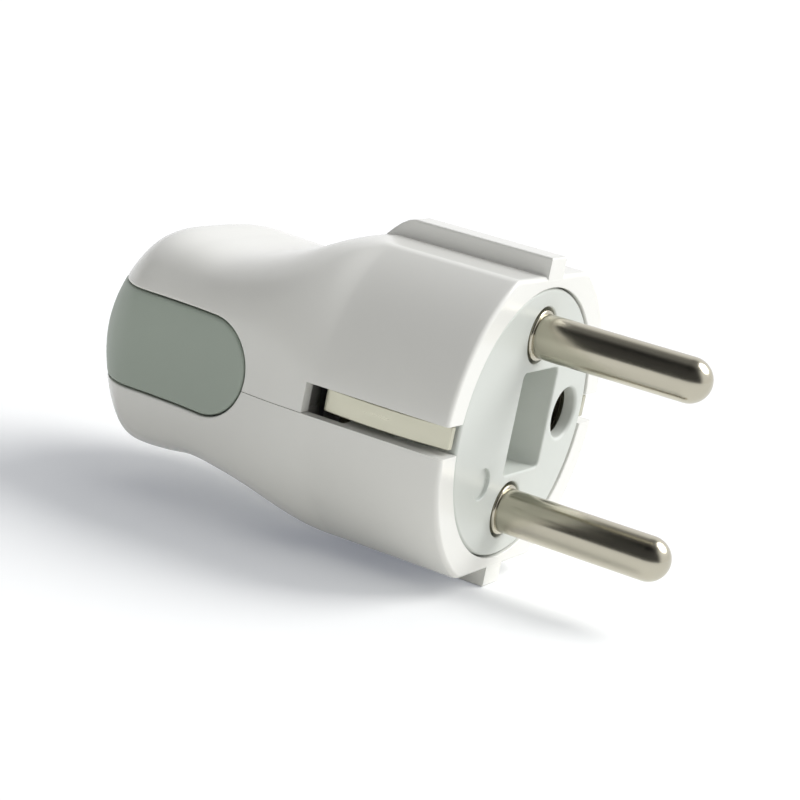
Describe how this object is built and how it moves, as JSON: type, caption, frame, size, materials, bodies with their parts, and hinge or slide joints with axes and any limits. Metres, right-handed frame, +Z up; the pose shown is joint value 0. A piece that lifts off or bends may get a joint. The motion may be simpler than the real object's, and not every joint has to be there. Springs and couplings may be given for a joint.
{
  "type": "type f plug",
  "caption": "Straight rewireable power plug with two round pins, side earth contacts, an earth hole and a scooped handle with grey grip pads.",
  "frame": {"origin": "centre of the engagement face, midway between the two contact pins", "axes": "+X the way the pins point, +Y towards the earth hole, +Z up with the line pin above the neutral pin; the plug is held by its pins, and its lowest line is the lower guide rib"},
  "size_m": [0.0656, 0.0356, 0.0358],
  "materials": {
    "white_plastic": "smooth glossy moulding",
    "light_grey_plastic": "satin moulding",
    "grey_soft_plastic": "soft satin moulding",
    "grey_rubber": "matt",
    "nickel_plated_brass": "bright nickel plating",
    "zinc_plated_steel": "clear zinc plating"
  },
  "bodies": {
    "root": {"housing_upper": "white_plastic", "housing_lower": "white_plastic", "pin_carrier": "light_grey_plastic", "line_pin": "nickel_plated_brass", "neutral_pin": "nickel_plated_brass", "line_terminal_screw": "zinc_plated_steel", "neutral_terminal_screw": "zinc_plated_steel", "line_wire_guard": "nickel_plated_brass", "neutral_wire_guard": "nickel_plated_brass", "earth_contact_left": "nickel_plated_brass", "earth_contact_right": "nickel_plated_brass", "earth_bridge": "nickel_plated_brass", "earth_rivet": "nickel_plated_brass", "earth_socket": "nickel_plated_brass", "earth_clamp_plate": "zinc_plated_steel", "earth_terminal_screw": "zinc_plated_steel", "cord_clamp": "light_grey_plastic", "cord_clamp_screw_left": "zinc_plated_steel", "cord_clamp_screw_right": "zinc_plated_steel", "cord_bush": "grey_rubber", "grip_pad_left": "grey_soft_plastic", "grip_pad_right": "grey_soft_plastic", "housing_screws_front": "zinc_plated_steel", "housing_screws_rear": "zinc_plated_steel"}
  },
  "joints": []
}
